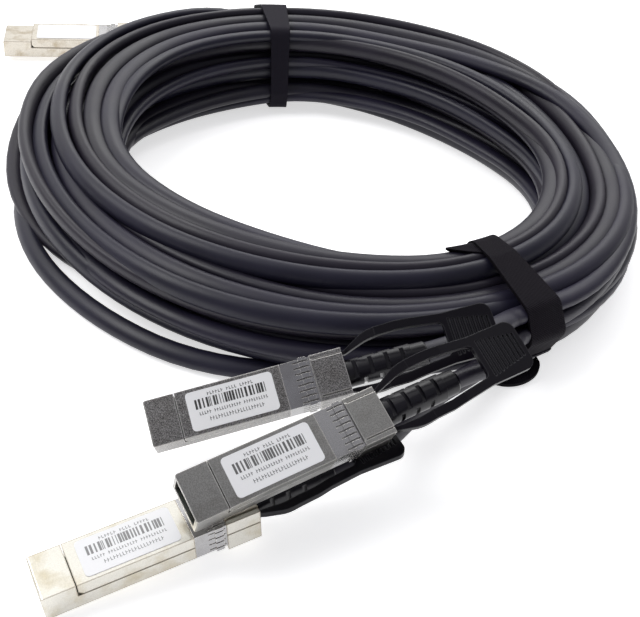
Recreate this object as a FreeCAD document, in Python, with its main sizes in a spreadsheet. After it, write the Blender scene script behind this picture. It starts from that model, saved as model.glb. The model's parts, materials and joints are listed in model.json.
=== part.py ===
# Breakout direct attach copper cable: one wide plug, four small plugs, four cables in one strapped coil.
# Each plug is modelled in its own frame: +X from the nose to the cable, +Z to the label side, Z = 0 on the
# underside of the cage part. Its pieces then share one Placement. Millimetres throughout.
import FreeCAD, Part
import math
import os
import re
import Sketcher
from FreeCAD import Placement, Rotation, Vector

doc = FreeCAD.newDocument("breakout_cable")
sheet = doc.addObject("Spreadsheet::Sheet", "Sizes")

sizes = {
    # small plug, cage part
    "small_width": 13.4, "small_height": 8.5, "small_face": 47.7, "small_head_length": 9.3,
    "small_head_drop": 1.7, "small_head_rise": 0.6, "small_head_side": 0.2,
    "small_nose": 8.6, "small_nose_low": 0, "small_seam": 4.3, "small_floor": 3.5,
    "small_mouth_width": 10.8, "small_card_width": 9.4, "small_card_margin": 7.7,
    "small_fingers": 8, "small_label_margin": 3.0, "small_label_gap": 2.6, "small_label_width": 11.2,
    # wide plug, cage part
    "wide_width": 18.35, "wide_height": 8.5, "wide_face": 52, "wide_head_length": 15,
    "wide_head_drop": 2.0, "wide_head_rise": 1.2, "wide_head_side": 0.5,
    "wide_nose": 12.5, "wide_nose_low": 1.2, "wide_seam": 4.3, "wide_floor": 3.2,
    "wide_mouth_width": 15.4, "wide_card_width": 14.2, "wide_card_margin": 6,
    "wide_fingers": 12, "wide_label_margin": 2.5, "wide_label_gap": 1.3, "wide_label_width": 15.2,
    # shells
    "shell_wall": 1.0, "mouth_floor": 1.4, "mouth_roof": 1.1, "joint_gap": 0.25, "rail_width": 1.3,
    "groove_width": 0.3, "groove_depth": 0.7, "rail_drop": 0.3, "nose_round": 0.6, "skirt_round": 1.2,
    "card_thick": 1.0, "card_play": 0.1, "card_setback": 1.0, "label_thick": 0.12, "label_round": 1.2,
    # spring collar in front of the head
    "collar_length": 8.7, "collar_thick": 0.3, "collar_play": 0.02, "collar_bulge": 0.35,
    "bulge_length": 2.2, "bulge_back": 1.0, "finger_slot": 0.45, "finger_length": 5.0, "side_fingers": 4,
    # latch plate under the small plug
    "latch_front": 31, "latch_hinge": 46, "latch_back": 47.8, "latch_low": 0.7, "latch_thick": 0.7,
    "latch_width": 5.6, "latch_play": 0.35, "slot_roof": 3.1, "pin_radius": 0.5, "pin_play": 0.05,
    "pin_reach": 4.4, "boss_front": 31.8, "boss_length": 3.2, "boss_depth": 1.1, "boss_width": 2.8,
    # moulded boots
    "boot_axis": 4.25, "boot_neck": 2.9, "neck_length": 3.5, "neck_play": 0.15, "boot_base": 4.0,
    "boot_length": 24, "boot_sleeve": 3.6, "sleeve_length": 4.6, "boot_core": 3.0, "boot_slots": 4,
    "slot_width": 1.2, "slot_pitch": 4.7, "slot_start": 2.0, "slot_reach": 2.9,
    "block_inset": 1.875, "block_height": 12.8, "block_length": 14, "block_taper": 1.2, "block_neck": 3,
    # pull tabs
    "tab_thick": 1.6, "small_tab_swell": 3.5, "wide_tab_swell": 2.4, "small_tab_reach": 43.5,
    "wide_tab_reach": 40, "grip_length": 14.5, "arm_width": 2.6, "arm_root": 1.0, "small_arm_room": 1.15,
    "wide_arm_room": 0.25, "arm_belly": 1.5, "belly_start": 7, "belly_end": 16, "belly_round": 9,
    "arm_low": 5.1, "arm_height": 1.8, "arm_inside": 6.5,
    "tab_corner": 3.0, "window_corner": 1.5, "channel_play": 0.3,
    "rib_count": 9, "rib_pitch": 1.35, "rib_width": 0.65, "rib_depth": 0.5, "rib_margin": 1.9,
    "rib_step": 0.25, "rib_start": 1.6, "high_rise": 12.0, "low_rise": 7.6, "wide_rise": 12.6,
    # cables, coil and straps
    "cable_diameter": 6.0, "cable_gap": 0.15, "cable_lead": 8, "tube_sides": 12,
    "coil_angle": -40.7, "coil_long": 102, "coil_short": 90.5,
    "coil_half_width": 15.6, "coil_low": 1.6, "coil_high": 30.6, "coil_corner": 6.5,
    "strap_width": 11.5, "strap_thick": 1.3, "strap_play": 0.3, "front_strap_angle": -51.5,
    "back_strap_angle": 108.5, "strap_tail": 15, "strap_tail_thick": 1.2,
    "pocket_width": 15, "pocket_height": 13.5, "pocket_corner": 3.2,
    # coil centre in the object's frame
    "coil_x": 31.2, "coil_y": 35.1,
}

# plug places, relative to the coil centre: x, y, z of the nose, then yaw, pitch and roll in degrees
places = {
    "sfp_a": (-40.9, -147.8, 8.0, 18.0, -12.1, 31.0),
    "sfp_b": (-26.0, -183.2, 18.0, 33.9, -6.7, 24.6),
    "sfp_c": (-58.7, -201.0, 0.25, 30.7, -5.9, 1.8),
    "sfp_d": (93.5, 81.7, 1.75, 150.0, 0.0, 0.0),
    "qsfp": (-157.4, 98.4, 2.2, 12.0, 0.0, 0.0),
}
tab_rises = {"sfp_a": "high_rise", "sfp_b": "high_rise", "sfp_c": "low_rise", "sfp_d": "high_rise"}
for tag in places:
    for name, amount in zip(("x", "y", "z", "yaw", "pitch", "roll"), places[tag]):
        sizes[tag + "_" + name] = amount

for row, (alias, amount) in enumerate(sizes.items(), start=1):
    sheet.set("A%d" % row, alias)
    sheet.set("B%d" % row, "%g" % amount)
    sheet.setAlias("B%d" % row, alias)
doc.recompute()

word = re.compile(r"[a-z]+(?:_[a-z]+)+")


def bound(text):
    # a size's name becomes its cell in the sheet
    return word.sub(lambda found: "Sizes." + found.group(), text)


def number(text):
    return float(sheet.evalExpression(text))


def box(name, along, across, upward):
    # each pair holds the lower and the upper face
    made = doc.addObject("Part::Box", name)
    for side, axis, (low, high) in zip(("Length", "Width", "Height"), "xyz", (along, across, upward)):
        made.setExpression(side, bound("(%s) - (%s)" % (high, low)))
        made.setExpression("Placement.Base." + axis, bound(low))
    return made


def rod(name, radius, start, length, axis, across="0", upward="0"):
    made = doc.addObject("Part::Cylinder", name)
    turn = Rotation(Vector(0, 0, 1), Vector(1, 0, 0) if axis == "x" else Vector(0, 1, 0))
    made.Placement = Placement(Vector(), turn)
    made.setExpression("Radius", bound(radius))
    made.setExpression("Height", bound(length))
    for letter, text in zip("xyz", (start, across, upward)):
        made.setExpression("Placement.Base." + letter, bound(text))
    return made


def fused(name, pieces):
    made = doc.addObject("Part::MultiFuse", name)
    made.Shapes = pieces
    return made


def cut(name, base, tools):
    made = doc.addObject("Part::Cut", name)
    made.Base = base
    made.Tool = tools[0] if len(tools) == 1 else fused(name + "_tools", tools)
    return made


def rounded(name, base, radius, wanted):
    # wanted picks edges by their end points
    doc.recompute()
    made = doc.addObject("Part::Fillet", name)
    made.Base = base
    picked = []
    for place, edge in enumerate(base.Shape.Edges, start=1):
        if len(edge.Vertexes) == 2 and wanted(edge.Vertexes[0].Point, edge.Vertexes[1].Point):
            picked.append((place, number(radius), number(radius)))
    made.Edges = picked
    return made


def profile(body, plane, points, shift="0"):
    # closed outline on one of the body's planes; every corner is bound to the sheet
    if body:
        sketch = body.newObject("Sketcher::SketchObject", body.Name + "_outline")
        support = [item for item in body.Origin.OriginFeatures if item.Role == plane]
        sketch.AttachmentSupport = (support[0], [""])
        sketch.MapMode = "FlatFace"
    else:
        sketch = doc.addObject("Sketcher::SketchObject", "free_outline")
        sketch.Placement = Placement(Vector(), Rotation(Vector(1, 0, 0), 90))
    if shift != "0":
        sketch.setExpression("AttachmentOffset.Base.z", bound(shift))
    corners = [Vector(number(first), number(second), 0) for first, second in points]
    for place, corner in enumerate(corners):
        sketch.addGeometry(Part.LineSegment(corner, corners[(place + 1) % len(corners)]), False)
    for place in range(len(corners)):
        following = (place + 1) % len(corners)
        sketch.addConstraint(Sketcher.Constraint("Coincident", place, 2, following, 1))
    for place, pair in enumerate(points):
        for kind, text, amount in zip(("DistanceX", "DistanceY"), pair, corners[place]):
            added = sketch.addConstraint(Sketcher.Constraint(kind, place, 1, amount))
            sketch.setExpression("Constraints[%d]" % added, bound(text))
    return sketch


def pad(body, sketch, length, centred=True):
    made = body.newObject("PartDesign::Pad", body.Name + "_pad")
    made.Profile = sketch
    made.setExpression("Length", bound(length))
    made.Midplane = centred
    sketch.Visibility = False
    return made


def extruded(name, plane, points, length, centred=True, shift="0"):
    body = doc.addObject("PartDesign::Body", name)
    pad(body, profile(body, plane, points, shift), length, centred)
    return body


finished = {}


def finish(label, made, tag=None):
    made.Label = label
    if tag:
        turn = Rotation(*[number(tag + "_" + name) for name in ("yaw", "pitch", "roll")])
        made.Placement = Placement(Vector(0, 0, 0), turn)
        made.setExpression("Placement.Base.x", bound("coil_x + " + tag + "_x"))
        made.setExpression("Placement.Base.y", bound("coil_y + " + tag + "_y"))
        made.setExpression("Placement.Base.z", bound(tag + "_z"))
    finished[label] = made


def names(kind, text):
    # "@" stands for the plug's kind in a size's name
    return text.replace("@", kind + "_")


def pairs(kind, *texts):
    return [(names(kind, low), names(kind, high)) for low, high in texts]


def both(kind, half):
    half = names(kind, half)
    return ("-(" + half + ")", half)


block_half = "(wide_width / 2 + wide_head_side - block_inset)"
boot_half = {"small": "boot_base", "wide": block_half}


def belt(tag, kind, piece):
    # the frame of metal that both shells give up to the spring collar
    length = names(kind, "@face - collar_length"), names(kind, "@face")
    room = "(collar_thick + collar_play)"
    outer = box(tag + piece + "_belt_out", length, both(kind, "@width / 2 + 1"),
                ("-1", names(kind, "@height + 1")))
    inner = box(tag + piece + "_belt_in", length, both(kind, "@width / 2 - " + room),
                (room, names(kind, "@height - " + room)))
    return cut(tag + piece + "_belt", outer, [inner])


def lower_shell(tag, kind, extra):
    wide = both(kind, "@width / 2")
    head = both(kind, "@width / 2 + @head_side")
    nose_top = "@height - @nose_low"
    tray = box(tag + "_tray", *pairs(kind, ("0", "@face")), wide, *pairs(kind, ("0", "@seam")))
    bridge = box(tag + "_bridge", *pairs(kind, ("0", "@nose")), wide, *pairs(kind, ("@seam - 1", nose_top)))
    chin = box(tag + "_chin", *pairs(kind, ("@face", "@face + @head_length")), head,
               *pairs(kind, ("-@head_drop", "@seam")))
    solid = fused(tag + "_cast", [tray, bridge, chin])
    top = number(names(kind, nose_top))
    solid = rounded(tag + "_cast_round", solid, "nose_round",
                    lambda a, b: abs(a.x) < 0.01 and abs(b.x) < 0.01 and not a.isEqual(b, 0.01)
                    and (abs(a.z - b.z) > 1 or abs(a.z - top) < 0.01))
    mouth = box(tag + "_mouth", *pairs(kind, ("-1", "@nose + 1")), both(kind, "@mouth_width / 2"),
                *pairs(kind, ("mouth_floor", nose_top + " - mouth_roof")))
    channel = box(tag + "_channel", *pairs(kind, ("@nose - 0.01", "@face + @head_length - neck_length")),
                  both(kind, "@width / 2 - shell_wall"), *pairs(kind, ("@floor", "@seam + 1")))
    return cut(tag + "_base", solid, [mouth, channel, belt(tag, kind, "_lower")] + extra)


def top_cover(tag, kind, extra):
    back = "@face + @head_length"
    outline = [("@nose + joint_gap", "@seam + joint_gap + skirt_round"), ("@nose + joint_gap", "@height"),
               ("@face", "@height"), ("@face", "@height + @head_rise"), (back, "@height + @head_rise"),
               (back, "@seam + joint_gap"), ("@nose + joint_gap + skirt_round", "@seam + joint_gap")]
    outline = pairs(kind, *outline)
    body = extruded(tag + "_cover_body", "XZ_Plane", outline, names(kind, "@width + 2 * @head_side"))
    trims = []
    for side, low, high in (("_near", "-20", "-(@width / 2)"), ("_far", "@width / 2", "20")):
        trims.append(box(tag + side + "_trim", *pairs(kind, ("0", "@face"), (low, high), ("-1", "20"))))
    hollow = box(tag + "_hollow", *pairs(kind, ("@nose - 1", back + " - neck_length")),
                 both(kind, "@width / 2 - shell_wall"), *pairs(kind, ("0", "@height - shell_wall")))
    edge = "@width / 2 + @head_side"
    for side, sign in (("_near", "-1"), ("_far", "1")):
        inner = sign + " * (" + edge + " - rail_width)"
        spans = [inner, sign + " * (" + edge + " - rail_width - groove_width)"]
        rail = [sign + " * (" + edge + " + 1)", inner]
        if sign == "1":
            spans.reverse()
            rail.reverse()
        trims.append(box(tag + side + "_groove", *pairs(kind, ("@face + 0.6", back + " + 1"), spans,
                                                        ("@height + @head_rise - groove_depth", "20"))))
        trims.append(box(tag + side + "_rail", *pairs(kind, ("@face", back + " + 1"), rail,
                                                      ("@height + @head_rise - rail_drop", "20"))))
    return cut(tag + "_lid", body, trims + [hollow, belt(tag, kind, "_upper")] + extra)


def paddle_card(tag, kind):
    start = "card_setback"
    edge = "@width / 2 - shell_wall - card_play"
    outline = [(start, "@card_width / 2"), ("@nose", "@card_width / 2"), ("@nose", edge),
               ("@face - @card_margin", edge)]
    mirrored = [(along, "-(" + across + ")") for along, across in reversed(outline)]
    points = pairs(kind, *(outline + mirrored))
    return extruded(tag + "_board", "XY_Plane", points, "card_thick", False, names(kind, "@floor"))


def spring_collar(tag, kind):
    start, stop = "@face - collar_length + collar_play", "@face - collar_play"
    sleeve = box(tag + "_sleeve", *pairs(kind, (start, stop)), both(kind, "@width / 2"),
                 *pairs(kind, ("0", "@height")))
    crest = (stop + " - bulge_back - bulge_length", stop + " - bulge_back")
    swell = box(tag + "_swell", *pairs(kind, crest), both(kind, "@width / 2 + collar_bulge"),
                *pairs(kind, ("-collar_bulge", "@height + collar_bulge")))
    bore = box(tag + "_bore", *pairs(kind, ("@face - collar_length - 1", "@face + 1")),
               both(kind, "@width / 2 - collar_thick"),
               *pairs(kind, ("collar_thick", "@height - collar_thick")))
    tools = [bore]
    for kind_of, count, span in (("_cross", "@fingers", "@width"), ("_side", "side_fingers", "@height")):
        total = int(number(names(kind, count)))
        for place in range(total):
            middle = "%s * (%d.5 / %s)" % (span, place, count)
            middle += " - @width / 2" if kind_of == "_cross" else ""
            gap = (middle + " - finger_slot / 2", middle + " + finger_slot / 2")
            spans = [gap, ("-2", "@height + 2")] if kind_of == "_cross" else [("-20", "20"), gap]
            along = (stop + " - finger_length", stop + " - 0.4")
            tools.append(box("%s%s_slot_%d" % (tag, kind_of, place), *pairs(kind, along, *spans)))
    return cut(tag + "_collar", fused(tag + "_collar_full", [sleeve, swell]), tools)


def label_plate(tag, kind):
    start, stop = "@nose + @label_margin", "@face - collar_length - @label_gap"
    plate = box(tag + "_sticker", *pairs(kind, (start, stop)), both(kind, "@label_width / 2"),
                *pairs(kind, ("@height", "@height + label_thick")))
    return rounded(tag + "_sticker_round", plate, "label_round",
                   lambda a, b: abs(a.x - b.x) < 0.001 and abs(a.y - b.y) < 0.001)


def small_latch(tag):
    low, high = "latch_low", "latch_low + latch_thick"
    plate = box(tag + "_plate", ("latch_front", "latch_back"), both("", "latch_width / 2"), (low, high))
    wedge = [("boss_front", high), ("boss_front", low), ("boss_front + boss_length", "-boss_depth"),
             ("boss_front + boss_length", high)]
    boss = extruded(tag + "_boss", "XZ_Plane", wedge, "boss_width")
    pin = rod(tag + "_pin", "pin_radius", "latch_hinge", "2 * pin_reach", "y", "-pin_reach",
              "latch_low + latch_thick / 2")
    return fused(tag + "_rocker", [plate, boss, pin])


def loop_tab(tag, rise, arm):
    # a U of ribbon: the bowed side profile and the plan outline meet in one solid
    back = "small_face + small_head_length" if arm == "small" else "wide_face + wide_head_length"
    inner = names(arm, "(" + boot_half[arm] + " + @arm_room)")
    half = names(arm, "(" + boot_half[arm] + " + @tab_swell)")
    reach = arm + "_tab_reach"
    low, root = "arm_low", back + " - arm_inside"
    crest = rise + " + 0.6"
    side = [(root, low), (back + " + 1.5", low), (back + " + 11", crest + " - 1.2"),
            (back + " + 20", crest), (back + " + " + reach + " + 1", rise),
            (back + " + " + reach + " + 1", rise + " + tab_thick"),
            (back + " + 20", crest + " + tab_thick"),
            (back + " + 10", crest + " + tab_thick - 1.2"), (back + " + 1", low + " + arm_height"),
            (root, low + " + arm_height")]
    ribbon = extruded(tag + "_ribbon", "XZ_Plane", side, "40")
    belly = half + " + arm_belly"
    start, stop = back + " + belly_start", back + " + belly_end"
    grip = back + " + " + reach + " - grip_length"
    end = back + " + " + reach
    upper = [(root, inner), (root, inner + " + arm_root"), (back + " + 0.6", inner + " + arm_root"),
             (start, belly), (stop, belly), (grip, half), (end, half)]
    lower = [(along, "-(" + across + ")") for along, across in reversed(upper)]
    inside = [(back + " + 1.2", inner), (start, belly + " - arm_width"), (stop, belly + " - arm_width"),
              (grip, half + " - arm_width")]
    window = [(along, "-(" + across + ")") for along, across in inside] + inside[::-1]
    plan = extruded(tag + "_plan", "XY_Plane", upper + lower + window, "60")
    end_at, grip_at = number(end), number(grip)
    bends = number(start), number(stop)

    def upright(a, b):
        return abs(a.x - b.x) < 0.001 and abs(a.y - b.y) < 0.001

    plan = rounded(tag + "_plan_round", plan, "tab_corner", lambda a, b: upright(a, b)
                   and abs(a.x - end_at) < 0.01)
    plan = rounded(tag + "_window_round", plan, "window_corner", lambda a, b: upright(a, b)
                   and abs(a.x - grip_at) < 0.01 and abs(a.y) < number(half) - 0.5)
    plan = rounded(tag + "_belly_round", plan, "belly_round", lambda a, b: upright(a, b)
                   and min(abs(a.x - bend) for bend in bends) < 0.01)
    loop = doc.addObject("Part::MultiCommon", tag + "_loop")
    loop.Shapes = [ribbon, plan]
    ribs = []
    total = int(number("rib_count"))
    for place in range(total):
        start = grip + " + rib_start + %d * rib_pitch" % place
        reach = half + " - rib_margin - rib_step * %d" % place
        ribs.append(box("%s_rib_%d" % (tag, place), (start, start + " + rib_width"), both("", reach),
                        (rise + " + tab_thick - rib_depth + 0.6 * (1 - %d / rib_count)" % place, "30")))
    return cut(tag + "_tab", loop, ribs)


def arm_channel(tag, kind):
    inner = names(kind, "(" + boot_half[kind] + " + @arm_room)")
    made = []
    for side, sign in (("_near", "-1"), ("_far", "1")):
        spans = [sign + " * (" + inner + " - channel_play)",
                 sign + " * (" + inner + " + arm_root + channel_play)"]
        if sign == "-1":
            spans.reverse()
        made.append(box(tag + side + "_arm_channel",
                        *pairs(kind, ("@face + @head_length - arm_inside - channel_play",
                                      "@face + @head_length + 1"), spans,
                               ("arm_low - channel_play", "arm_low + arm_height + channel_play"))))
    return made


def neck_bore(tag, piece):
    start = "small_face + small_head_length - neck_length - 1"
    return rod(tag + piece + "_neck_bore", "boot_neck + neck_play", start, "neck_length + 2", "x", "0",
               "boot_axis")


def small_boot(tag):
    back = "small_face + small_head_length"
    body = doc.addObject("PartDesign::Body", tag + "_boot_body")
    step = back + " + boot_length - sleeve_length"
    outline = [(back + " - neck_length", "boot_axis"), (back + " - neck_length", "boot_axis + boot_neck"),
               (back, "boot_axis + boot_neck"), (back, "boot_axis + boot_base"),
               (step, "boot_axis + boot_base - 0.1"), (step, "boot_axis + boot_sleeve"),
               (back + " + boot_length - 0.5", "boot_axis + boot_sleeve - 0.1"),
               (back + " + boot_length", "boot_axis + boot_sleeve - 0.5"),
               (back + " + boot_length", "boot_axis")]
    shape = profile(body, "XZ_Plane", outline)
    turned = body.newObject("PartDesign::Revolution", tag + "_boot_turned")
    turned.Profile = shape
    turned.ReferenceAxis = (shape, ["Edge%d" % len(outline)])
    turned.Angle = 360
    tools = []
    for row, shift in (("top", "0"), ("side", "slot_pitch / 2")):
        total = int(number("boot_slots")) if row == "top" else int(number("boot_slots")) - 1
        for place in range(total):
            start = back + " + slot_start + %s + %d * slot_pitch" % (shift, place)
            for half, low, high in (("_a", "boot_core", "6"), ("_b", "-6", "-boot_core")):
                name = "%s_%s_%d%s" % (tag, row, place, half)
                if row == "top":
                    spans = [both("", "slot_reach"), ("boot_axis + " + low, "boot_axis + " + high)]
                else:
                    spans = [(low, high), ("boot_axis - slot_reach", "boot_axis + slot_reach")]
                tools.append(box(name, (start, start + " + slot_width"), *spans))
    return cut(tag + "_boot_cut", body, tools)


def small_plug(tag):
    slot = box(tag + "_latch_slot", ("latch_front - latch_play", "latch_back + latch_play"),
               both("", "latch_width / 2 + latch_play"), ("-5", "slot_roof"))
    pin_hole = rod(tag + "_pin_hole", "pin_radius + pin_play", "latch_hinge", "2 * pin_reach + 0.2", "y",
                   "-pin_reach - 0.1", "latch_low + latch_thick / 2")
    lower = [slot, pin_hole, neck_bore(tag, "_low")]
    upper = [neck_bore(tag, "_up")] + arm_channel(tag, "small")
    finish(tag + "_lower_shell", lower_shell(tag, "small", lower), tag)
    finish(tag + "_top_cover", top_cover(tag, "small", upper), tag)
    finish(tag + "_paddle_card", paddle_card(tag, "small"), tag)
    finish(tag + "_emi_collar", spring_collar(tag, "small"), tag)
    finish(tag + "_label", label_plate(tag, "small"), tag)
    finish(tag + "_latch", small_latch(tag), tag)
    finish(tag + "_pull_tab", loop_tab(tag, tab_rises[tag], "small"), tag)
    finish(tag + "_boot", small_boot(tag), tag)


def wide_plug(tag):
    back = "wide_face + wide_head_length"
    neck = []
    for piece in ("_low", "_up"):
        neck.append(box(tag + piece + "_neck_gap", (back + " - block_neck - 1", back + " + 1"),
                        both("", block_half + " - 1 + neck_play"),
                        ("boot_axis - block_height / 2 + 1.4 - neck_play",
                         "boot_axis + block_height / 2 - 1.8 + neck_play")))
    finish(tag + "_lower_shell", lower_shell(tag, "wide", [neck[0]]), tag)
    finish(tag + "_top_cover", top_cover(tag, "wide", [neck[1]] + arm_channel(tag, "wide")), tag)
    finish(tag + "_paddle_card", paddle_card(tag, "wide"), tag)
    finish(tag + "_emi_collar", spring_collar(tag, "wide"), tag)
    finish(tag + "_label", label_plate(tag, "wide"), tag)
    finish(tag + "_pull_tab", loop_tab(tag, "wide_rise", "wide"), tag)
    neck_block = box(tag + "_boot_neck", (back + " - block_neck", back), both("", block_half + " - 1"),
                     ("boot_axis - block_height / 2 + 1.4", "boot_axis + block_height / 2 - 1.8"))
    rear_half = "(" + block_half + " - block_taper)"
    outline = [(back, block_half), (back + " + block_length", rear_half),
               (back + " + block_length", "-" + rear_half), (back, "-" + block_half)]
    block = extruded(tag + "_boot_block", "XY_Plane", outline, "block_height", False,
                     "boot_axis - block_height / 2")
    block = rounded(tag + "_boot_soft", block, "skirt_round",
                    lambda a, b: abs(a.x - b.x) > 5 and abs(a.z - b.z) < 0.01)
    finish(tag + "_boot", fused(tag + "_boot_whole", [neck_block, block]), tag)


for tag in places:
    if tag == "qsfp":
        wide_plug(tag)
    else:
        small_plug(tag)


def ring_outline(extra, pocket=False):
    # the bundle's section, grown evenly by extra, corners at 45 degrees; the pocket holds the plug's cables
    reach = "(coil_half_width + " + extra + ")"
    low, high = "coil_low - (" + extra + ")", "coil_high + " + extra
    corner = "(coil_corner + 0.5858 * (" + extra + "))"
    shallow, deep = high + " - " + corner, low + " + " + corner
    outer = [(reach + " - " + corner, low), (reach, deep)]
    if pocket:
        wide = reach + " + pocket_width"
        outer = [(wide + " - pocket_corner", low), (wide, low + " + pocket_corner"),
                 (wide, low + " + pocket_height")]
    inner = [("-" + reach + " + " + corner, high), ("-" + reach, shallow), ("-" + reach, deep),
             ("-" + reach + " + " + corner, low)]
    return outer + [(reach, shallow), (reach + " - " + corner, high)] + inner


def coil():
    # one closed solid of the bundle's outer shape, swept round an ellipse
    path = doc.addObject("Part::Ellipse", "coil_path")
    path.setExpression("MajorRadius", bound("coil_long"))
    path.setExpression("MinorRadius", bound("coil_short"))
    section = profile(None, "XZ_Plane", [("coil_long + " + along, up) for along, up in ring_outline("0")])
    made = doc.addObject("Part::Sweep", "coil_bundle")
    made.Sections = [section]
    made.Spine = (path, ["Edge1"])
    made.Solid = True
    made.setExpression("Placement.Base.x", bound("coil_x"))
    made.setExpression("Placement.Base.y", bound("coil_y"))
    made.setExpression("Placement.Rotation.Angle", bound("coil_angle"))
    return made


def round_coil(angle):
    # place and outward direction on the coil's centre line, seen from the coil's centre at this angle
    turn = math.radians(number(angle) - number("coil_angle"))
    long, short = number("coil_long"), number("coil_short")
    phase = math.atan2(long * math.sin(turn), short * math.cos(turn))
    out = math.atan2(long * math.sin(phase), short * math.cos(phase)) + math.radians(number("coil_angle"))
    spin = Rotation(Vector(0, 0, 1), number("coil_angle"))
    place = spin.multVec(Vector(long * math.cos(phase), short * math.sin(phase), 0))
    centre = Vector(number("coil_x"), number("coil_y"), 0)
    return Placement(centre + place, Rotation(Vector(0, 0, 1), math.degrees(out)))


def strap(label, angle, pocket, with_tail):
    outside, inside = ring_outline("strap_play + strap_thick", pocket), ring_outline("strap_play", pocket)
    outer = extruded(label + "_outer", "XZ_Plane", outside, "strap_width")
    inner = extruded(label + "_inner", "XZ_Plane", inside, "strap_width + 2")
    made = cut(label + "_band", outer, [inner])
    if with_tail:
        half = "strap_width / 2"
        reach = "coil_half_width"
        leaf = [(reach + " - coil_corner - 2", "-(" + half + ")"), (reach + " + 1", "-(" + half + ")"),
                (reach + " + strap_tail / 3", "-(" + half + " - 1)"),
                (reach + " + strap_tail / 3 + 2", "0"), (reach + " + strap_tail / 3", half + " - 1"),
                (reach + " + 1", half), (reach + " - coil_corner - 2", half)]
        flat = extruded(label + "_leaf", "XY_Plane", leaf, "strap_tail_thick", False)
        made = fused(label + "_whole", [made, flat])
    made.Placement = round_coil(angle)
    made.Label = label
    finished[label] = made


def exit_of(tag):
    # middle of the boot's rear face and the direction in which the cable leaves
    kind = "wide" if tag == "qsfp" else "small"
    reach = number(kind + "_face + " + kind + "_head_length")
    reach += number("block_length" if kind == "wide" else "boot_length")
    turn = Rotation(*[number(tag + "_" + name) for name in ("yaw", "pitch", "roll")])
    start = Vector(number("coil_x + " + tag + "_x"), number("coil_y + " + tag + "_y"), number(tag + "_z"))
    return Placement(start, turn), Vector(reach, 0, number("boot_axis"))


def tube(label, points):
    # straight runs joined by tangent arcs, each as large as its two runs allow; a many-sided section keeps
    # the facets few
    radius = number("cable_diameter") / 2
    edges, radii = [], []
    last = points[0]
    for before, point, after in zip(points, points[1:], points[2:]):
        toward, away = (before - point), (after - point)
        run = min(toward.Length, away.Length)
        turn = math.pi - toward.getAngle(away)
        bend = 0.45 * run / math.tan(turn / 2)
        radii.append(bend)
        first = point + toward.normalize() * (0.45 * run)
        second = point + away.normalize() * (0.45 * run)
        middle = (toward + away).normalize()
        centre = point + middle * math.hypot(bend, 0.45 * run)
        edges.append(Part.LineSegment(last, first).toShape())
        edges.append(Part.Arc(first, centre - middle * bend, second).toShape())
        last = second
    edges.append(Part.LineSegment(last, points[-1]).toShape())
    path = Part.Wire(edges)
    ahead = Rotation(Vector(0, 0, 1), points[1] - points[0])
    step = math.tau / int(number("tube_sides"))
    rim = [Vector(math.cos(step * side), math.sin(step * side), 0) * radius
           for side in range(int(number("tube_sides")))]
    section = Part.makePolygon([points[0] + ahead.multVec(corner) for corner in rim + rim[:1]])
    area = Part.Face(section).Area
    solid = path.makePipeShell([section], True, False)
    print("%-22s length %.1f radii %s volume over section times length %.4f" % (
        label, path.Length, " ".join("%.0f" % bend for bend in radii),
        solid.Volume / (area * path.Length)))
    full = doc.addObject("Part::Feature", label + "_run")
    full.Shape = solid
    made = cut(label + "_free", full, [finished["cable_coil"]])
    made.Label = label
    finished[label] = made


# hand-chosen route points of the free stretches, relative to the coil centre; each ends in the coil
routes = {
    "sfp_a": [(51, -117.3, 31), (60, -106.5, 28.8), (63.5, -97.5, 25.8)],
    "sfp_b": [(57, -128.7, 28.7), (62, -115, 24.4), (64.8, -100.7, 18.8)],
    "sfp_c": [(24.5, -147.5, 13), (32, -135, 12), (41, -122, 10.5), (52, -110.5, 9.5), (60.5, -99.5, 9)],
    "sfp_d": [(5, 127, 7.5), (-7, 121.5, 11), (-17.5, 114, 16.6), (-27, 106.5, 19.6)],
}
quad_routes = {
    "near_low": [(-56, 114.4, 4), (-40, 111.3, 4.6), (-27, 106.3, 5.2)],
    "near_high": [(-56, 114.4, 10.2), (-40, 111.3, 10.8), (-27, 106.3, 11.4)],
    "far_low": [(-56, 120.8, 4.2), (-40, 117.6, 4.8), (-27, 113.1, 5), (-14, 106.5, 5.3)],
    "far_high": [(-56, 120.8, 10.4), (-40, 117.6, 11), (-27, 113.1, 11.2), (-14, 106.5, 11.6)],
}

finish("cable_coil", coil())
strap("front_strap", "front_strap_angle", False, True)
strap("back_strap", "back_strap_angle", True, False)

centre = Vector(number("coil_x"), number("coil_y"), 0)
lead = Vector(number("cable_lead"), 0, 0)
for tag, points in routes.items():
    place, end = exit_of(tag)
    start, straight = place.multVec(end), place.multVec(end + lead)
    tube(tag + "_cable", [start, straight] + [centre + Vector(*point) for point in points])
place, end = exit_of("qsfp")
for corner, points in quad_routes.items():
    side = 1 if corner.startswith("far") else -1
    level = 1 if corner.endswith("high") else -1
    offset = (number("cable_diameter") + number("cable_gap")) / 2
    end_here = end + Vector(0, side * offset, level * offset)
    start, straight = place.multVec(end_here), place.multVec(end_here + lead)
    tube("qsfp_cable_" + corner, [start, straight] + [centre + Vector(*point) for point in points])

doc.recompute()
bad = [item.Name for item in doc.Objects if "Invalid" in item.State or "Error" in item.State]
for label, made in finished.items():
    shape = made.Shape
    if shape.isNull() or not shape.isValid() or len(shape.Solids) != 1:
        bad.append(label)
    else:
        print("%-22s volume %.1f state %s" % (label, shape.Volume, made.State))
if bad:
    raise SystemExit("not written, these failed: " + " ".join(bad))
os.makedirs("parts", exist_ok=True)
for label, made in finished.items():
    made.Shape.exportStep("parts/%s.step" % label)
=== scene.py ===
import json
import math

import bmesh
import bpy
import numpy as np
from mathutils import Matrix, Vector


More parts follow.
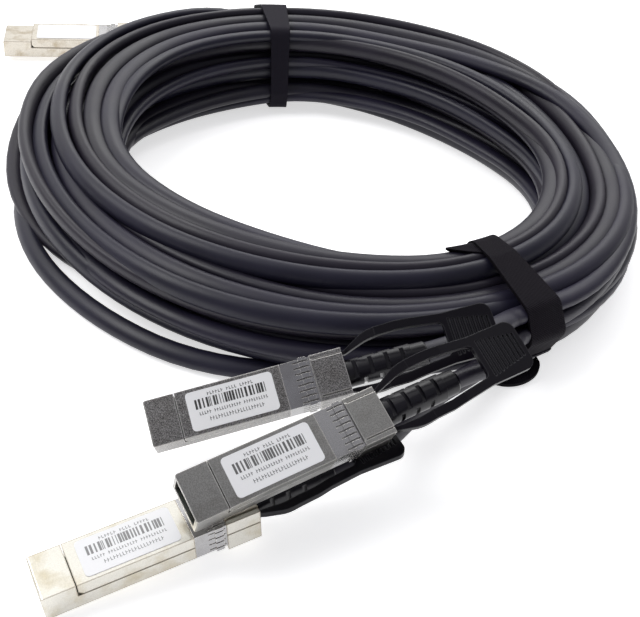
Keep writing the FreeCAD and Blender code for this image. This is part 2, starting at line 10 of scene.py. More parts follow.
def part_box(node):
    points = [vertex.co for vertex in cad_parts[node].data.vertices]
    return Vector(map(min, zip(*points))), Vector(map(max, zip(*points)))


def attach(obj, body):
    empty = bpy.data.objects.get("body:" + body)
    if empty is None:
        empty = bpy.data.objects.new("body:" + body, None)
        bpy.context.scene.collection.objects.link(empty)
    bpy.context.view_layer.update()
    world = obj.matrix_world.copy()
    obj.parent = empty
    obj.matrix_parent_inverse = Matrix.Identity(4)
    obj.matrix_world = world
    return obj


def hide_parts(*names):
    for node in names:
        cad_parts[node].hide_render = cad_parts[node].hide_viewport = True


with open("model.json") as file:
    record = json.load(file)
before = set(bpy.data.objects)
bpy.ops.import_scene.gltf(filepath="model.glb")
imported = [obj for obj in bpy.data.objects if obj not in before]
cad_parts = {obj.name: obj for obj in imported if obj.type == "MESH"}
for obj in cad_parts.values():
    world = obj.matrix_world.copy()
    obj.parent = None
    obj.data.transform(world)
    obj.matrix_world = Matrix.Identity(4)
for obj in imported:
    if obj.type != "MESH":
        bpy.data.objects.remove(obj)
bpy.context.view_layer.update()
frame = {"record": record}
scene = bpy.context.scene
mm = 0.001

coilBox = np.array(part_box("cable_coil"))
coilCentre = (coilBox[0] + coilBox[1]) / 2 * [1, 1, 0]

# the coil's oval centre line, in millimetres and degrees
ring = {"angle": -40.7, "long": 102.0, "short": 90.5}


def ringPlace(theta):
    # centre-line points, outward normals and tangents of the oval at the polar angles theta
    turn = np.radians(np.asarray(theta, float) - ring["angle"])
    phase = np.arctan2(ring["long"] * np.sin(turn), ring["short"] * np.cos(turn))
    x, y = ring["long"] * np.cos(phase), ring["short"] * np.sin(phase)
    normalX, normalY = np.cos(phase) / ring["long"], np.sin(phase) / ring["short"]
    size = np.hypot(normalX, normalY)
    spin = math.radians(ring["angle"])
    c, s = math.cos(spin), math.sin(spin)
    spot = np.stack([x * c - y * s, x * s + y * c], -1)
    out = np.stack([normalX * c - normalY * s, normalX * s + normalY * c], -1) / size[..., None]
    return spot, out, np.stack([-out[..., 1], out[..., 0]], -1)


# materials
def newMaterial(name, colour, rough, metal=0.0, specular=0.5):
    material = bpy.data.materials.new(name)
    material.use_nodes = True
    tree = material.node_tree
    shader = tree.nodes["Principled BSDF"]
    for socket, value in (("Base Color", (*colour, 1)), ("Roughness", rough), ("Metallic", metal),
                          ("Specular IOR Level", specular)):
        shader.inputs[socket].default_value = value
    return material, tree, shader


def node(tree, kind, **values):
    made = tree.nodes.new(kind)
    for key, value in values.items():
        if key in made.inputs:
            made.inputs[key].default_value = value
        else:
            setattr(made, key, value)
    return made


def wire(tree, source, out, target, into):
    tree.links.new(source.outputs[out], target.inputs[into])


def noise(tree, scale, detail=2.0, rough=0.5):
    place = node(tree, "ShaderNodeTexCoord")
    made = node(tree, "ShaderNodeTexNoise", Scale=scale, Detail=detail, Roughness=rough)
    wire(tree, place, "Object", made, "Vector")
    return made


def ramp(tree, low, dark, high, light):
    made = node(tree, "ShaderNodeValToRGB")
    for element, place, colour in zip(made.color_ramp.elements, (low, high), (dark, light)):
        element.position = place
        element.color = (*colour, 1)
    return made


def shades(colour, *factors):
    return [tuple(part * factor for part in colour) for factor in factors]


def roughen(tree, shader, source, strength, distance, edge=None):
    # bump from the source's Fac, over edges rounded by the Bevel node where edge is given
    bump = node(tree, "ShaderNodeBump", Strength=strength, Distance=distance)
    wire(tree, source, "Fac", bump, "Height")
    if edge:
        bevel = node(tree, "ShaderNodeBevel", samples=4, Radius=edge)
        wire(tree, bevel, "Normal", bump, "Normal")
    wire(tree, bump, "Normal", shader, "Normal")


def jacketMaterial(name, colour):
    material, tree, shader = newMaterial(name, colour, 0.42, specular=0.42)
    slow = noise(tree, 26.0)
    tone = ramp(tree, 0.3, shades(colour, 0.7)[0], 0.7, shades(colour, 1.3)[0])
    wire(tree, slow, "Fac", tone, "Fac")
    wire(tree, tone, "Color", shader, "Base Color")
    sheen = ramp(tree, 0.25, (0.36,) * 3, 0.75, (0.52,) * 3)
    wire(tree, slow, "Fac", sheen, "Fac")
    wire(tree, sheen, "Color", shader, "Roughness")
    roughen(tree, shader, noise(tree, 900.0, 3.0), 0.15, 0.1 * mm)
    return material


def paintedEdgeLight(tree, shader, source, colour, edge):
    # paints the rim colour on every edge: a painted highlight where rim is light, painted shade where rim is
    # dark
    # edges are where the rounded normal leaves the flat one: 1 - n . b
    bevel = node(tree, "ShaderNodeBevel", samples=4, Radius=edge)
    flat = node(tree, "ShaderNodeNewGeometry")
    facing = node(tree, "ShaderNodeVectorMath", operation="DOT_PRODUCT")
    wire(tree, bevel, "Normal", facing, 0)
    wire(tree, flat, "Normal", facing, 1)
    rim = ramp(tree, 0.90, (1, 1, 1), 0.995, (0, 0, 0))
    wire(tree, facing, "Value", rim, "Fac")
    mixed = node(tree, "ShaderNodeMix", data_type="RGBA")
    mixed.inputs[7].default_value = (*colour, 1)
    wire(tree, rim, "Color", mixed, "Factor")
    if source:
        tree.links.new(source, mixed.inputs[6])
    else:
        mixed.inputs[6].default_value = shader.inputs["Base Color"].default_value
    tree.links.new(mixed.outputs[2], shader.inputs["Base Color"])


def metalMaterial(name, colour, rough, grain, tarnish, rim=(0.95, 0.93, 0.88), edge=0.25 * mm):
    # bead-blasted nickel: fine specks darker and lighter than the mean, stained in patches, and a soft grain,
    # with the rim colour painted on the edges as painted light
    material, tree, shader = newMaterial(name, colour, rough, 1.0)
    fine = noise(tree, 3400.0, 3.0, 0.65)
    dark, light = shades(colour, 1 - 0.75 * grain, 1 + 0.6 * grain)
    tone = ramp(tree, 0.38, dark, 0.64, light)
    wire(tree, fine, "Fac", tone, "Fac")
    patches = ramp(tree, 0.48, (1, 1, 1), 0.7, tarnish)
    wire(tree, noise(tree, 130.0, 5.0, 0.6), "Fac", patches, "Fac")
    stained = node(tree, "ShaderNodeMix", data_type="RGBA", blend_type="MULTIPLY", Factor=1.0)
    tree.links.new(tone.outputs["Color"], stained.inputs[6])
    tree.links.new(patches.outputs["Color"], stained.inputs[7])
    paintedEdgeLight(tree, shader, stained.outputs[2], rim, 2 * edge)
    roughen(tree, shader, fine, 0.2 + 0.5 * grain, 0.05 * mm, edge)
    return material


def plasticMaterial(name, colour, rough, specular=0.5, edge=0.4 * mm, rim=None):
    material, tree, shader = newMaterial(name, colour, rough, specular=specular)
    # rim, where given, is a painted highlight: a lighter colour painted on the edges
    if rim:
        paintedEdgeLight(tree, shader, None, rim, edge)
    roughen(tree, shader, noise(tree, 1500.0, 3.0), 0.12, 0.1 * mm, edge)
    return material


def clothMaterial(name, colour, pitch, strength):
    # a diagonal weave on the strap's own UV map, which is in metres
    material, tree, shader = newMaterial(name, colour, 0.75, specular=0.15)
    place = node(tree, "ShaderNodeUVMap", uv_map="cloth")
    weave = node(tree, "ShaderNodeTexWave", wave_type="BANDS", bands_direction="DIAGONAL", Scale=0.31 / pitch,
                 Distortion=1.2, Detail=1.0)
    wire(tree, place, "UV", weave, "Vector")
    tone = ramp(tree, 0.2, shades(colour, 0.5)[0], 0.9, shades(colour, 1.7)[0])
    wire(tree, weave, "Fac", tone, "Fac")
    wire(tree, tone, "Color", shader, "Base Color")
    roughen(tree, shader, weave, strength, 0.3 * mm)
    return material


# springSteel and contactGold take the default light rim, a painted highlight on their edges
springSteel = metalMaterial("springSteel", (0.45, 0.445, 0.45), 0.24, 0.08, (0.85, 0.84, 0.83),
                            edge=0.08 * mm)
boardGreen = plasticMaterial("boardGreen", (0.02, 0.07, 0.03), 0.35, edge=0.1 * mm)
labelFilm = plasticMaterial("labelFilm", (0.95, 0.95, 0.96), 0.5, edge=0.05 * mm)
contactGold = metalMaterial("contactGold", (0.85, 0.6, 0.25), 0.25, 0.05, (0.9, 0.85, 0.75),
                            edge=0.02 * mm)
# the tab's lighter rim colour is a painted highlight along its edges
tabPlastic = plasticMaterial("tabPlastic", (0.004, 0.003, 0.006), 0.3, 0.2, rim=(0.05, 0.05, 0.055))
bootPlastic = plasticMaterial("bootPlastic", (0.006, 0.005, 0.009), 0.3, 0.4, 0.3 * mm)
jackets = [jacketMaterial("jacket%d" % number, colour) for number, colour in enumerate(
    [(0.011, 0.010, 0.024), (0.014, 0.012, 0.027), (0.013, 0.011, 0.021), (0.016, 0.013, 0.023)])]
strapCloth = clothMaterial("strapCloth", (0.007, 0.005, 0.009), 0.36 * mm, 0.6)
hookCloth = clothMaterial("hookCloth", (0.03, 0.028, 0.036), 0.9 * mm, 1.0)
smoothCloth = clothMaterial("smoothCloth", (0.014, 0.012, 0.019), 0.3 * mm, 0.15)

# each plug's casting, the blackness of its label's print, and rim, the edge colour painted as light: a
# painted highlight on most plugs, painted shade in the darker brown rims of sfp_c and qsfp
plugs = {
    "sfp_a": {"metal": (0.32, 0.31, 0.30), "grain": 0.95, "tarnish": (0.78, 0.76, 0.74),
              "rim": (0.85, 0.83, 0.8), "ink": 0.04},
    "sfp_b": {"metal": (0.36, 0.355, 0.34), "grain": 0.3, "tarnish": (0.8, 0.79, 0.77),
              "rim": (0.8, 0.78, 0.74), "ink": 0.14},
    # sfp_c's print is real, but its pale grey ink is partly painted light, the print washed out by glare
    "sfp_c": {"metal": (0.70, 0.68, 0.62), "grain": 0.1, "tarnish": (0.80, 0.75, 0.64),
              "rim": (0.3, 0.24, 0.17), "ink": 0.28},
    "sfp_d": {"metal": (0.50, 0.49, 0.47), "grain": 0.6, "tarnish": (0.8, 0.78, 0.74),
              "rim": (0.9, 0.88, 0.84), "ink": 0.08},
    "qsfp": {"metal": (0.58, 0.54, 0.47), "grain": 0.2, "tarnish": (0.6, 0.52, 0.4),
             "rim": (0.3, 0.24, 0.17)},
}
finishes = {"paddle_card": boardGreen, "emi_collar": springSteel, "latch": springSteel, "label": labelFilm,
            "pull_tab": tabPlastic, "boot": bootPlastic}
for tag, look in plugs.items():
    cast = metalMaterial(tag + "Metal", look["metal"], 0.3, look["grain"], look["tarnish"], look["rim"])
    for kind, material in {**finishes, "lower_shell": cast, "top_cover": cast}.items():
        held = bpy.data.objects.get(tag + "_" + kind)
        if held:
            held.data.materials.clear()
            held.data.materials.append(material)
print("materials set")


# pieces are added at the origin, with their place in their mesh
def addPiece(name, made, slot, *replaced):
    scene.collection.objects.link(made)
    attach(made, "cable_set")
    if replaced:
        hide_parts(*replaced)
    print("piece", name)


plugMiddle = 4.25


def plugPlace(tag):
    # the plug's own axes in the object's frame: x from the nose to the rear, z to the top cover, from a point
    # plugMiddle millimetres under the cage mount
    mounts = {mount["name"]: mount for mount in frame["record"]["mounts"]}
    rear = -Vector(mounts[tag + "_cage_part"]["axis"])
    top = -Vector(mounts[tag + "_underside"]["axis"])
    nose = Vector(mounts[tag + "_cage_part"]["pos_m"]) - top * plugMiddle * mm
    side = top.cross(rear)
    return Matrix((
        (rear.x, side.x, top.x, nose.x), (rear.y, side.y, top.y, nose.y), (rear.z, side.z, top.z, nose.z),
        (0, 0, 0, 1)))


def boxes(name, blocks, place, material, slot):
    # closed blocks given as x, y and z spans in the plug's own millimetres
    mesh = bmesh.new()
    for spans in blocks:
        corners = bmesh.ops.create_cube(mesh, size=1.0)["verts"]
        for corner in corners:
            corner.co = Vector([low + (high - low) * (part + 0.5) for (low, high), part in
                                zip(spans, corner.co)])
    bmesh.ops.transform(mesh, matrix=place @ Matrix.Scale(mm, 4), verts=mesh.verts)
    data = bpy.data.meshes.new(name)
    mesh.to_mesh(data)
    mesh.free()
    data.materials.append(material)
    addPiece(name, bpy.data.objects.new(name, data), slot)


# the lines of small print: low, high, stroke, start and stop
printed = {"start": 13.8, "stop": 33.8, "top": 8.62, "thick": 0.03, "module": 0.2, "bars": (0.3, 3.1),
           "lines": ((3.6, 4.5, 0.5, 17, 31), (-1.5, -0.6, 0.42, 14.5, 34), (-3.6, -2.5, 0.5, 17, 32)),
           "skipped": 0.12, "pen": 0.16, "gap": 0.28, "seed": 7}


def printBlocks():
    # a bar pattern with drawn widths, and lines of short strokes that stand for small print
    draw = np.random.default_rng(printed["seed"])
    level = (printed["top"], printed["top"] + printed["thick"])
    pen = printed["pen"]
    blocks = []
    spot = printed["start"]
    while spot < printed["stop"]:
        width = printed["module"] * draw.integers(1, 4)
        blocks.append(((spot, spot + width), printed["bars"], level))
        spot += width + printed["module"] * draw.integers(1, 4)
    for low, high, stroke, start, stop in printed["lines"]:
        spot = start
        while spot < stop:
            if draw.random() > printed["skipped"]:
                foot = low if draw.random() > 0.5 else (low + high) / 2
                blocks.append(((spot, spot + pen), (low, high), level))
                blocks.append(((spot + pen, spot + stroke), (foot, foot + pen), level))
            spot += stroke + printed["gap"]
    return blocks


contacts = {"run": (1.2, 5.2), "pitch": 0.8, "half": 0.25, "sunk": 0.01, "proud": 0.03}
cards = {"sfp": {"count": 10, "level": 4.5}, "qsfp": {"count": 15, "level": 4.2}}


def contactBlocks(count, level):
    pitch, half = contacts["pitch"], contacts["half"]
    across = [(k - (count - 1) / 2) * pitch for k in range(count)]
    height = (level - contacts["sunk"], level + contacts["proud"])
    return [(contacts["run"], (spot - half, spot + half), height) for spot in across]


for tag, look in plugs.items():
    place = plugPlace(tag)
    card = cards[tag.split("_")[0]]
    boxes(tag + "Contacts", contactBlocks(card["count"], card["level"]), place, contactGold, "circuit_board")
    if "ink" in look:
        ink = plasticMaterial(tag + "Ink", (look["ink"],) * 3, 0.6, edge=0.02 * mm)
        boxes(tag + "Print", printBlocks(), place, ink, "label_film")
print("plug details made")

# cables: route points in millimetres from the coil's centre, as in the CAD source
starts = {
    "near_low": [(-56, 114.4, 4), (-40, 111.3, 4.6), (-27, 106.3, 5.2)],
    "near_high": [(-56, 114.4, 10.2), (-40, 111.3, 10.8), (-27, 106.3, 11.4)],
    "far_low": [(-56, 120.8, 4.2), (-40, 117.6, 4.8), (-27, 113.1, 5), (-14, 106.5, 5.3)],
    "far_high": [(-56, 120.8, 10.4), (-40, 117.6, 11), (-27, 113.1, 11.2), (-14, 106.5, 11.6)],
}
ends = {
    "sfp_a": [(51, -117.3, 31), (59, -106.5, 28), (62.5, -98.5, 23.5)],
    "sfp_b": [(57, -128.7, 28.7), (61.5, -115, 24), (64, -101.7, 17.5)],
    "sfp_c": [(24.5, -147.5, 13), (32, -135, 12), (41, -122, 10.5), (52, -110.5, 9.5), (60.5, -99.5, 9)],
    "sfp_d": [(5, 127, 7.5), (-7, 121.5, 11), (-17.5, 114, 16.6), (-27, 106.5, 19.6)],
}
# first: the polar angle where a leg joins the coil; outer: the height at which it leaves down the outer side
legs = [
    {"plug": "sfp_d", "corner": "far_low", "turns": 8.0, "first": 98, "outer": None},
    {"plug": "sfp_a", "corner": "near_low", "turns": 7.46, "first": 104, "outer": 21.5},
    {"plug": "sfp_b", "corner": "near_high", "turns": 7.46, "first": 104, "outer": 15.5},
    {"plug": "sfp_c", "corner": "far_high", "turns": 7.45, "first": 98, "outer": 8.5},
]
cord = {"half": (3.72, 2.62), "length": 5.0, "width": 0.006, "leanSeed": 50, "lean": 0.14 / 40}
band = {"angles": {"front": -52.5, "back": 108.5}, "width": 11.0, "thick": 1.1, "play": 0.15, "cable": 3.2,
        "above": 0.1, "near": 45, "steps": 240, "across": (-0.5, -0.47, -0.25, 0, 0.25, 0.47, 0.5)}
# rows of rowSlots places; wide and high are the section's size, and held is how far a strap's hold reaches
pack = {"rowSlots": 5.5, "across": 6.1, "overrun": 1.5, "rise": 5.1, "riseFrom": 0.82, "low": 3.3,
        "lowest": 3.4, "wide": 30, "high": 25, "perTurn": 16, "outer": 17.5, "reach": 27.4, "held": 22,
        "slide": (0.37, 0.16), "drop": (0.28, 0.18)}
# the loosened section: polar angle, spread inwards at the floor and at the top, outwards at the floor and at
# the top, and lift of the top
swell = np.array([
    (0, -4, -4, 8, 1, 0), (15, -1, -1, 9, 4, 0), (30, 4, 2, 11, 9, 2), (45, 8, 4, 13, 11, 3),
    (60, 9, 4, 11, 10, 3), (85, 12, 5, 9, 9, 3), (108.5, 12, 4, 1, 2, 3), (130, 16, 4, 5, 7, 3),
    (150, 12, 2, 8, 12, 3), (172, 0, -1, 6, 8, 2), (195, -4, -3, 7, 5, 0), (215, -6, -6, 8, 3, -1),
    (235, -2, -1, 8, 3, -2), (260, 1, 1, 7, 2, -2), (285, -1, -1, 7, -2, -2), (306, -8, -7, 5, -6, -2),
    (335, -3, -3, 9, 0, 0)], float)
# places where a turn stands off the bundle: leg, turn, angle, spread, outward, upward
bulges = [(0, 0, 219, 52, 23, -1), (3, 1, 181, 30, 12, 0), (3, 1, 160, 24, 0, 7), (3, 1, 208, 22, 0, -6),
          (2, 0, 215, 40, 4, 1)]


def smooth(part):
    part = np.clip(part, 0, 1)
    return part * part * (3 - 2 * part)


def slotPlace(u):
    # snake through the section: across one row, up, and back across the next
    span = pack["rowSlots"]
    row = np.floor(u / span)
    part = u / span - row
    side = np.where(row % 2 == 0, 0.5 - part, part - 0.5)
    reach = (span - 1) / 2 * pack["across"] + pack["overrun"]
    across = np.clip(side * span * pack["across"], -reach, reach)
    climb = smooth((part - pack["riseFrom"]) / (1 - pack["riseFrom"]))
    return across, pack["low"] + pack["rise"] * (row + climb)


def wobble(leg, turns, seed):
    # slow smooth drift of one leg, the sum of a few sines with fixed random phases
    draw = np.random.default_rng(seed * 17 + leg)
    total = np.zeros_like(turns)
    for rate in (0.9, 1.7, 2.6, 3.9):
        total += np.sin(2 * math.pi * (rate * turns + draw.random())) / rate ** 0.5
    return total / 2.2


def section(number, turns):
    # polar angle, distance outside the centre line and height of a leg after so many turns
    leg = legs[number]
    theta = leg["first"] - 360 * turns
    across, height = slotPlace(number + 4 * turns)
    near = np.zeros_like(theta)
    for angle in band["angles"].values():
        away = (theta - angle + 180) % 360 - 180
        near = np.maximum(near, np.exp(-(away / pack["held"]) ** 2))
    across = across + wobble(number, turns, 1) * (1.0 - 0.8 * near)
    height = height + wobble(number, turns, 2) * (0.5 - 0.4 * near) + band["thick"] * near
    inLow, inHigh, outLow, outHigh, lift = [
        np.interp(theta, swell[:, 0], column, period=360) for column in swell[:, 1:].T]
    side = np.clip(0.5 + across / pack["wide"], 0, 1)
    level = np.clip((height - pack["low"]) / pack["high"], 0, 1)
    across = across + (outLow + (outHigh - outLow) * level) * side
    across = across - (inLow + (inHigh - inLow) * level) * (1 - side)
    height = height + lift * level
    if leg["outer"]:
        # the last stretch slides off the top and runs down the outer side
        slide, drop = [smooth((start - leg["turns"] + turns) / stretch)
                       for start, stretch in (pack["slide"], pack["drop"])]
        across = across + (pack["outer"] - across) * slide
        height = height + (leg["outer"] - height) * drop
    for which, turn, angle, spread, outward, upward in bulges:
        if which == number:
            bend = np.exp(-((theta + 360 * turn - (angle - 360)) / spread) ** 4)
            across, height = across + outward * bend, height + upward * bend
    return theta, np.minimum(across, pack["reach"]), np.maximum(height, pack["lowest"] + band["thick"] * near)


def coilPoints(number):
    steps = int(legs[number]["turns"] * pack["perTurn"])
    theta, across, height = section(number, np.linspace(0, legs[number]["turns"], steps + 1)[1:-1])
    spot, out, along = ringPlace(theta)
    return np.column_stack([spot + out * across[:, None], height])


# the cable's oval section
profileCurve = bpy.data.curves.new("jacketSection", "CURVE")
profileCurve.dimensions = "2D"
rim = profileCurve.splines.new("NURBS")
rim.points.add(11)
for k, point in enumerate(rim.points):
    angle = 2 * math.pi * k / len(rim.points)
    point.co = (cord["half"][0] * mm * math.cos(angle), cord["half"][1] * mm * math.sin(angle), 0, 1)
rim.order_u = 4
rim.use_cyclic_u = True
rim.resolution_u = 2
profile = bpy.data.objects.new("jacketSection", profileCurve)

laid = {}
cableExit = {"reach": 81.0, "half": 3.075, "lead": 8.0}
for number, leg in enumerate(legs):
    # each leg leaves the wide plug at its own corner of the square and ends in its small plug
    far = 1 if leg["corner"].startswith("far") else -1
    high = 1 if leg["corner"].endswith("high") else -1
    shift = (far * cableExit["half"], high * cableExit["half"])
    wide, small = plugPlace("qsfp"), plugPlace(leg["plug"])
    reach = cableExit["reach"]
    points = []
    for place, (side, up), reaches in ((wide, shift, (reach, reach + cableExit["lead"])),
                                       (small, (0, 0), (reach + cableExit["lead"], reach))):
        for ahead in reaches:
            points.append(place @ (Vector((ahead, side, plugMiddle + up)) * mm))
    middle = [*starts[leg["corner"]], *coilPoints(number), *reversed(ends[leg["plug"]])]
    laid[leg["plug"]] = np.array(middle)
    points[2:2] = [Vector(coilCentre + spot * mm) for spot in laid[leg["plug"]]]
    curve = bpy.data.curves.new(leg["plug"] + "Leg", "CURVE")
    curve.dimensions = "3D"
    curve.twist_mode = "Z_UP"
    spline = curve.splines.new("NURBS")
    spline.points.add(len(points) - 1)
    gaps = [(after - before).length / mm for before, after in zip(points, points[1:])]
    # the oval turns slowly along the cable
    draw = np.random.default_rng(cord["leanSeed"] + number)
    tilt = np.cumsum(draw.normal(0, cord["lean"], len(points)) * np.r_[0, gaps])
    for point, place, lean in zip(spline.points, points, tilt):
        point.co = (*place, 1)
        point.tilt = lean
    spline.order_u = 3
    spline.use_endpoint_u = True
    spline.resolution_u = 6
    curve.bevel_mode = "OBJECT"
    curve.bevel_object = profile
    curve.use_fill_caps = True
    curve.materials.append(jackets[number])
    cable = bpy.data.objects.new(leg["plug"] + "Leg", curve)
    addPiece(cable.name, cable, "cable_jacket", leg["plug"] + "_cable", "qsfp_cable_" + leg["corner"],
             "cable_coil")
print("cables laid")


# straps, fitted round every cable that crosses their plane
def strapOutline(angle):
    # where the cables lie between the strap's edges: quadratic spline through the middles m of the control
    # points p, (1 - t)^2 m0 + 2 t (1 - t) p + t^2 m1
    spot, out, along = ringPlace(angle)
    t = np.linspace(0, 1, 12)[:, None, None]
    crossing = []
    for control in laid.values():
        middle = (control[1:] + control[:-1]) / 2
        line = (1 - t) ** 2 * middle[:-1] + 2 * t * (1 - t) * control[1:-1] + t ** 2 * middle[1:]
        line = line.reshape(-1, 3)
        ahead, across = (line[:, :2] - spot) @ along, (line[:, :2] - spot) @ out
        held = (abs(ahead) < band["width"] / 2) & (abs(across) < band["near"])
        crossing.append(np.column_stack([across, line[:, 2]])[held])
    crossing = np.concatenate(crossing)
    # their hull, from its support function h: p = h n + h' t
    turn = np.linspace(0, 2 * math.pi, 721)[:-1]
    normal = np.stack([np.cos(turn), np.sin(turn)], -1)
    support = (crossing @ normal.T).max(axis=0) + band["cable"] + band["play"]
    slope = np.gradient(np.r_[support[-2:], support, support[:2]])[2:-2] / (turn[1] - turn[0])
    outline = normal * support[:, None] + np.stack([-normal[:, 1], normal[:, 0]], -1) * slope[:, None]
    outline[:, 1] = np.maximum(outline[:, 1], band["thick"] + band["above"])
    # even steps along the loop
    closed = np.vstack([outline, outline[:1]])
    run = np.r_[0, np.cumsum(np.hypot(*np.diff(closed, axis=0).T))]
    even = np.linspace(0, run[-1], band["steps"] + 1)
    return np.stack([np.interp(even, run, closed[:, k]) for k in (0, 1)], -1), even


def ribbon(mesh, base, normal, thick, cloth, which, loop):
    # a closed sheet from rows of points and their normals: two skins and a rim; cloth holds the UV steps
    rows, columns = base.shape[:2]
    skins = []
    for lift in (0, thick):
        spots = base + normal * lift
        skins.append([[mesh.verts.new(Vector(spot) * mm) for spot in row] for row in spots])
    uv = mesh.loops.layers.uv["cloth"]
    last = rows if loop else rows - 1
    for row in range(last):
        after = (row + 1) % rows
        for column in range(columns - 1):
            places = [(row, column), (after, column), (after, column + 1), (row, column + 1)]
            for skin in skins:
                face = mesh.faces.new([skin[i][j] for i, j in places])
                face.material_index, face.smooth = which, True
                for corner, (i, j) in zip(face.loops, places):
                    ahead = cloth[0][row + 1] if i == after else cloth[0][row]
                    corner[uv].uv = (ahead * mm, cloth[1][j] * mm)
        for column in (0, columns - 1):
            rim = [skins[0][row][column], skins[0][after][column], skins[1][after][column],
                   skins[1][row][column]]
            mesh.faces.new(rim).material_index = which
    if not loop:
        for row in (0, rows - 1):
            for column in range(columns - 1):
                rim = [skins[0][row][column], skins[0][row][column + 1], skins[1][row][column + 1],
                       skins[1][row][column]]
                mesh.faces.new(rim).material_index = which


def wrap(outline, angle, ahead):
    # points and normals of the outline carried along the ring by the distances ahead, in millimetres
    edge = np.roll(outline, -1, axis=0) - np.roll(outline, 1, axis=0)
    flat = np.stack([edge[:, 1], -edge[:, 0]], -1) / np.linalg.norm(edge, axis=1)[:, None]
    middle = ringPlace(angle)[0]
    spot, out, along = ringPlace(angle + np.degrees(np.asarray(ahead) / np.hypot(*middle)))
    points = np.empty((len(outline), len(ahead), 3))
    normals = np.empty_like(points)
    for k in range(len(ahead)):
        points[:, k, :2] = spot[k] + out[k] * outline[:, :1]
        points[:, k, 2] = outline[:, 1]
        normals[:, k, :2] = out[k] * flat[:, :1]
        normals[:, k, 2] = flat[:, 1]
    points[..., :2] += coilCentre[:2] / mm
    return points, normals


tail = {"flap": 11.0, "held": 8, "steps": 12, "taper": 0.92, "thick": 0.5}
patch = {"inward": 6, "top": 9, "sunk": 0.2, "thick": 0.5}
leaf = {"half": 10.5, "depth": 8.0, "shift": -5.0, "under": 7, "columns": 25, "rows": 9, "low": 0.3,
        "curl": 1.2, "thick": 1.1}


def addTail(mesh, outline, angle, run):
    # the pointed end of the inner layer, lying on the turns at the hole's edge
    inner, top = outline[:, 0].min(), outline[:, 1].max()
    held = np.flatnonzero((outline[:-1, 0] < inner + tail["held"]) & (outline[:-1, 1] > top - tail["held"]))
    reach = np.linspace(0, tail["flap"], tail["steps"])
    flat, lift = wrap(outline[:-1], angle, -band["width"] / 2 - reach)
    flat, lift = flat[held], lift[held]
    taper = (1 - reach / tail["flap"] * tail["taper"])[None, :, None]
    middle = flat[len(held) // 2][None]
    ribbon(mesh, middle + (flat - middle) * taper, lift, tail["thick"], (run, reach), 0, False)


def addPatch(mesh, outline, angle, run, across):
    # the rough hook patch low on the outer side
    outer = outline[:, 0].max()
    low = np.flatnonzero((outline[:-1, 0] > outer - patch["inward"]) & (outline[:-1, 1] < patch["top"]))
    flat, lift = wrap(outline[:-1], angle, across)
    flat = flat[low] + lift[low] * (band["thick"] - patch["sunk"])
    ribbon(mesh, flat, lift[low], patch["thick"], (run, across), 1, False)


def addLeaf(mesh, outline, angle):
    # the rounded free end, lying out on the floor: an arc sqrt(1 - x^2) deep, one corner curled up
    spot, out, along = ringPlace(angle)
    side, depths = np.linspace(-1, 1, leaf["columns"]), np.linspace(0, 1, leaf["rows"])
    bulge = np.sqrt(1.001 - side ** 2)
    shape = np.zeros((leaf["rows"], leaf["columns"], 3))
    shape[..., :2] = spot + coilCentre[:2] / mm + along * (side * leaf["half"] + leaf["shift"])[None, :, None]
    shape[..., :2] += out * (outline[:, 0].max() - leaf["under"]
                             + leaf["depth"] * depths[:, None] * bulge)[..., None]
    shape[..., 2] = leaf["low"] + leaf["curl"] * (side[None] * 0.5 + 0.5) ** 2 * depths[:, None]
    cloth = (depths * leaf["depth"], side * leaf["half"])
    ribbon(mesh, shape, np.broadcast_to([0, 0, 1.0], shape.shape), leaf["thick"], cloth, 0, False)


def strapPiece(name, replaced, angle, cloths, dressed):
    mesh = bmesh.new()
    mesh.loops.layers.uv.new("cloth")
    outline, run = strapOutline(angle)
    across = np.array(band["across"]) * band["width"]
    points, normals = wrap(outline[:-1], angle, across)
    ribbon(mesh, points, normals, band["thick"], (run, across), 0, True)
    if dressed:
        addTail(mesh, outline, angle, run)
        addPatch(mesh, outline, angle, run, across)
        addLeaf(mesh, outline, angle)
    bmesh.ops.recalc_face_normals(mesh, faces=mesh.faces)
    data = bpy.data.meshes.new(name)
    mesh.to_mesh(data)
    mesh.free()
    for cloth in cloths:
        data.materials.append(cloth)
    addPiece(name, bpy.data.objects.new(name, data), "strap_fabric", replaced)


strapPiece("frontStrap", "front_strap", band["angles"]["front"], [strapCloth, hookCloth], True)
strapPiece("backStrap", "back_strap", band["angles"]["back"], [smoothCloth], False)
print("straps fitted")

# camera, floor and light
view = {"lens": 58.26, "down": 37.917, "roll": 5.868, "place": (2.785, -354.15, 218.48)}
camera = bpy.data.cameras.new("camera")
camera.sensor_width = 36
camera.lens = view["lens"]
camera.clip_start, camera.clip_end = 0.01, 20
eye = bpy.data.objects.new("camera", camera)
scene.collection.objects.link(eye)
aim = Matrix.Rotation(math.radians(90 - view["down"]), 4, "X")
aim = aim @ Matrix.Rotation(math.radians(view["roll"]), 4, "Z")
eye.matrix_world = Matrix.Translation(Vector(coilCentre) + Vector(view["place"]) * mm) @ aim
scene.camera = eye

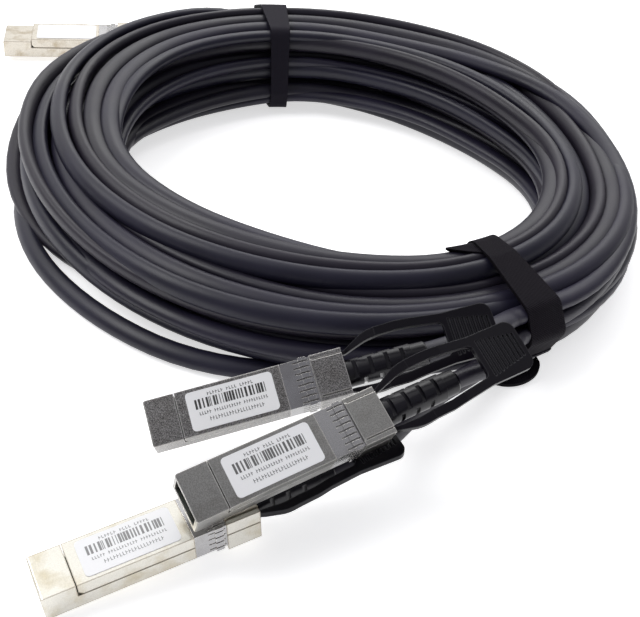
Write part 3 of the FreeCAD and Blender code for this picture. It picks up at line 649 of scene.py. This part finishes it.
stage = {"half": 3.0, "drop": 0.2, "paint": (0.94, 0.94, 0.94), "glow": 0.62}
half = stage["half"]
ground = bpy.data.meshes.new("floor")
corners = [(-half, -half, 0), (half, -half, 0), (half, half, 0), (-half, half, 0)]
ground.from_pydata(corners, [], [(0, 1, 2, 3)])
floor = bpy.data.objects.new("floor", ground)
scene.collection.objects.link(floor)
floor.location.z = -stage["drop"] * mm
floorPaint, tree, shader = newMaterial("floorPaint", stage["paint"], 0.9, specular=0.1)
shader.inputs["Emission Color"].default_value = (1, 1, 1, 1)
# the floor is a white backdrop to the camera and in reflections, and an ordinary pale floor otherwise:
# emission strength = glow (camera ray + glossy ray + transmission ray)
seen = node(tree, "ShaderNodeLightPath")
either = node(tree, "ShaderNodeMath", operation="ADD")
every = node(tree, "ShaderNodeMath", operation="ADD")
emitted = node(tree, "ShaderNodeMath", operation="MULTIPLY")
wire(tree, seen, "Is Camera Ray", either, 0)
wire(tree, seen, "Is Glossy Ray", either, 1)
wire(tree, either, 0, every, 0)
wire(tree, seen, "Is Transmission Ray", every, 1)
wire(tree, every, 0, emitted, 0)
emitted.inputs[1].default_value = stage["glow"]
wire(tree, emitted, 0, shader, "Emission Strength")
ground.materials.append(floorPaint)

# a bright soft wall behind the object, and a dim room above and in front
studio = {"wall": (-0.15, 0.79, 0.595), "room": (0.2, 0.2, 0.22), "strength": 1.3}
world = bpy.data.worlds.new("studio")
scene.world = world
world.use_nodes = True
tree = world.node_tree
place = node(tree, "ShaderNodeTexCoord")
facing = node(tree, "ShaderNodeVectorMath", operation="DOT_PRODUCT")
facing.inputs[1].default_value = studio["wall"]
wire(tree, place, "Generated", facing, 0)
glow = ramp(tree, 0.4, studio["room"], 0.92, (1.0, 1.0, 1.0))
tree.nodes["Background"].inputs["Strength"].default_value = studio["strength"]
wire(tree, facing, "Value", glow, "Fac")
wire(tree, glow, "Color", tree.nodes["Background"], "Color")


def softBox(name, offset, size, power):
    lamp = bpy.data.lights.new(name, "AREA")
    lamp.shape = "RECTANGLE"
    lamp.size, lamp.size_y = size
    lamp.energy = power
    made = bpy.data.objects.new(name, lamp)
    scene.collection.objects.link(made)
    made.location = Vector(coilCentre) + Vector(offset)
    made.rotation_euler = (-Vector(offset)).to_track_quat("-Z", "Y").to_euler()


softBox("keyLight", (-0.75, -0.1, 0.85), (0.6, 0.6), 5.5)
softBox("backLight", (0.1, 0.9, 0.8), (1.0, 0.4), 3)
scene.view_settings.view_transform = "Standard"
print("camera and lights set")
